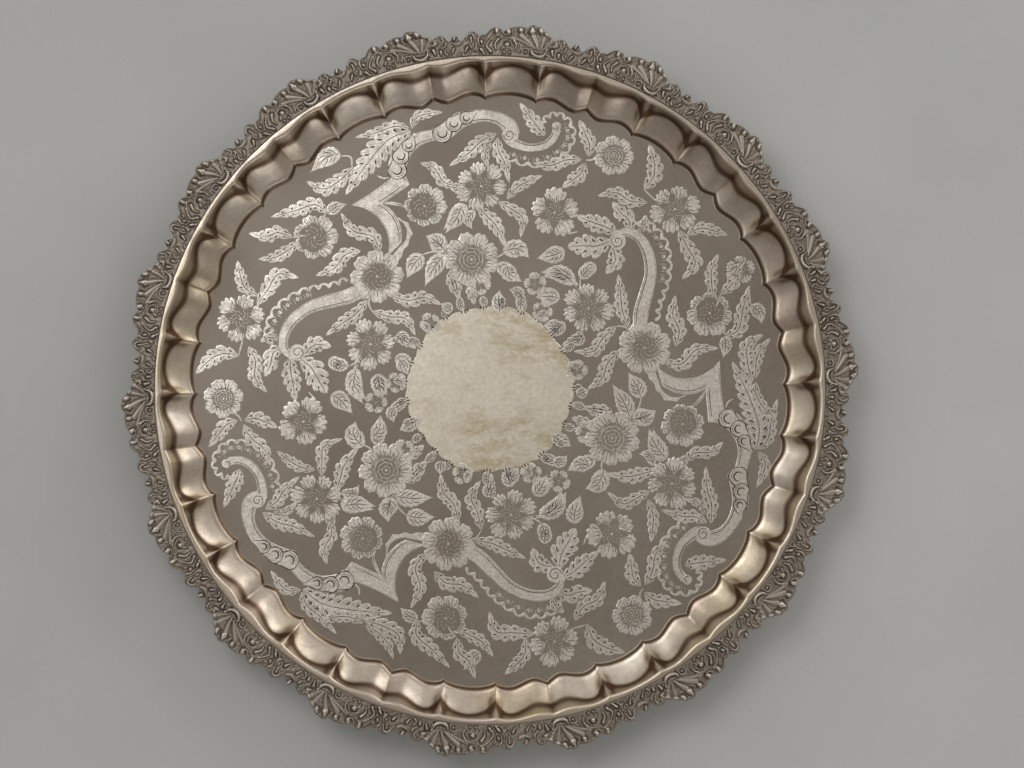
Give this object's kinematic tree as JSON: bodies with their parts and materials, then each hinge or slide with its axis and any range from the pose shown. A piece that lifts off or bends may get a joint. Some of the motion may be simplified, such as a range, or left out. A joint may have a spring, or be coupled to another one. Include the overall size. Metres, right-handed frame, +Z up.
{
  "type": "salver",
  "caption": "Very large round silver-plated salver with an engraved flat well, a fluted rising rim, a cast shell-and-scroll border and scroll feet.",
  "frame": {"origin": "on the table under the middle of the tray, at the height of the soles", "axes": "+Z up out of the engraved face, +X to the right and +Y to the top of the engraving as it is hung or leaned"},
  "size_m": [0.7492, 0.7442, 0.055],
  "materials": {
    "tray_silver": "satin",
    "border_silver": "satin",
    "foot_silver": "satin",
    "plate_silver": "satin"
  },
  "bodies": {
    "root": {"tray_body": "tray_silver", "border_01": "border_silver", "border_02": "border_silver", "border_03": "border_silver", "border_04": "border_silver", "border_05": "border_silver", "border_06": "border_silver", "border_07": "border_silver", "border_08": "border_silver", "border_09": "border_silver", "border_10": "border_silver", "border_11": "border_silver", "border_12": "border_silver", "border_13": "border_silver", "border_14": "border_silver", "border_15": "border_silver", "border_16": "border_silver", "border_17": "border_silver", "border_18": "border_silver", "foot_1": "foot_silver", "foot_2": "foot_silver", "foot_3": "foot_silver", "foot_4": "foot_silver", "foot_plate_1": "plate_silver", "foot_plate_2": "plate_silver", "foot_plate_3": "plate_silver", "foot_plate_4": "plate_silver"}
  },
  "joints": []
}
